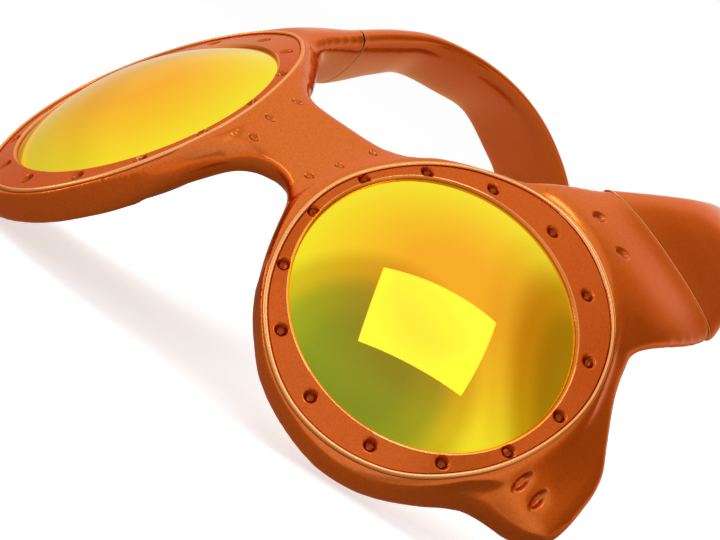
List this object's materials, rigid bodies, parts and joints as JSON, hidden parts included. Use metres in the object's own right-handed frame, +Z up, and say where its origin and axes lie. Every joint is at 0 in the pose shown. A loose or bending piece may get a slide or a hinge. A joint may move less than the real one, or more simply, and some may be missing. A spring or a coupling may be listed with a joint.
{
  "type": "sports sunglasses",
  "caption": "Over-the-head sports eyewear: moulded copper front with round mirrored lenses in dimpled rings, and broad sprung arms that run over the brow to the crown.",
  "frame": {"origin": "on the table plane, midway along and across the bounding box", "axes": "+Z up, +X to the wearer's left, -Y the way the lenses look; set down on the rims and the arms' tips"},
  "size_m": [0.134, 0.1926, 0.0673],
  "materials": {
    "copper_lacquer": "glossy copper metallic lacquer on moulded nylon",
    "ring_lacquer": "glossy copper metallic lacquer on moulded nylon",
    "mirrored_lens": "fire-coloured mirror coating on polycarbonate",
    "pin_steel": "plain steel pin",
    "soft_rubber": "matt dark brown rubber"
  },
  "bodies": {
    "front": {"front_frame": "copper_lacquer", "lens_left": "mirrored_lens", "lens_right": "mirrored_lens", "lens_ring_left": "ring_lacquer", "lens_ring_right": "ring_lacquer", "hinge_pin_left": "pin_steel", "hinge_pin_right": "pin_steel", "nose_pad_left": "soft_rubber", "nose_pad_right": "soft_rubber"},
    "left_arm": {"arm_left": "copper_lacquer", "grip_pad_left": "soft_rubber"},
    "right_arm": {"arm_right": "copper_lacquer", "grip_pad_right": "soft_rubber"}
  },
  "joints": [
    {"name": "left_arm_spread", "type": "hinge", "parent": "front", "child": "left_arm", "pos_m": [0.04005, -0.0287, 0.053], "axis": [0.6384, 0.6702, -0.3785], "range_deg": [0, 4], "stiffness_Nm_per_rad": 1},
    {"name": "right_arm_spread", "type": "hinge", "parent": "front", "child": "right_arm", "pos_m": [-0.04005, -0.0287, 0.053], "axis": [0.6384, -0.6702, 0.3785], "range_deg": [0, 4], "stiffness_Nm_per_rad": 1}
  ]
}
